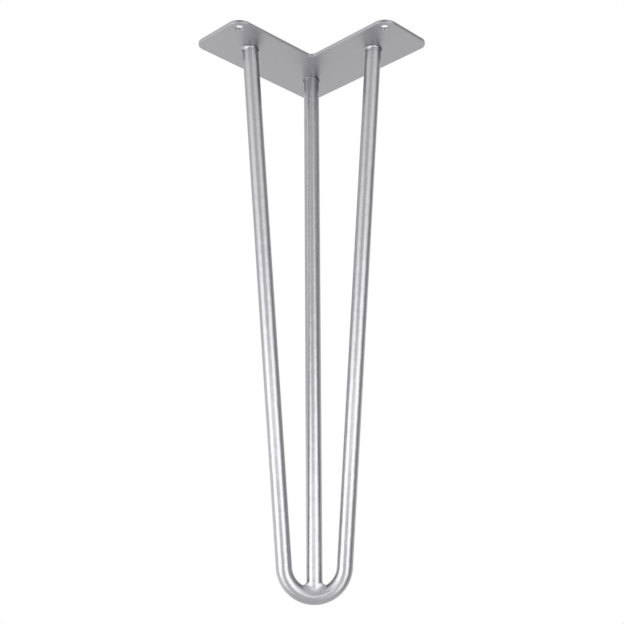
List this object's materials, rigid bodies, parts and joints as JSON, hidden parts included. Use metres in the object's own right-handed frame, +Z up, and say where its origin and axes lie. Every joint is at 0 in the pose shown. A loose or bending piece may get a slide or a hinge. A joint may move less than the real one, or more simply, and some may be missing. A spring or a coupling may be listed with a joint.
{
  "type": "hairpin table leg",
  "caption": "Hairpin table leg: a flat V-shaped mounting plate, a round rod bent into a U that ends in the foot, and a straight centre rod welded into the bend.",
  "frame": {"origin": "on the plate's top face, where the centre lines of its two arms cross, which is the top of the centre rod", "axes": "+Z up, out of the plate's top face into the table top; +Y towards the plate's outer corner and the table's corner, the way the foot leans out; +X to the right across the mirror-symmetric width"},
  "size_m": [0.1702, 0.1394, 0.4059],
  "materials": {
    "silver_coat": "satin silver-grey metallic powder coat"
  },
  "bodies": {
    "root": {"mounting_plate": "silver_coat", "hairpin_rod": "silver_coat", "centre_rod": "silver_coat", "foot_weld": "silver_coat", "plate_welds": "silver_coat"}
  },
  "joints": []
}
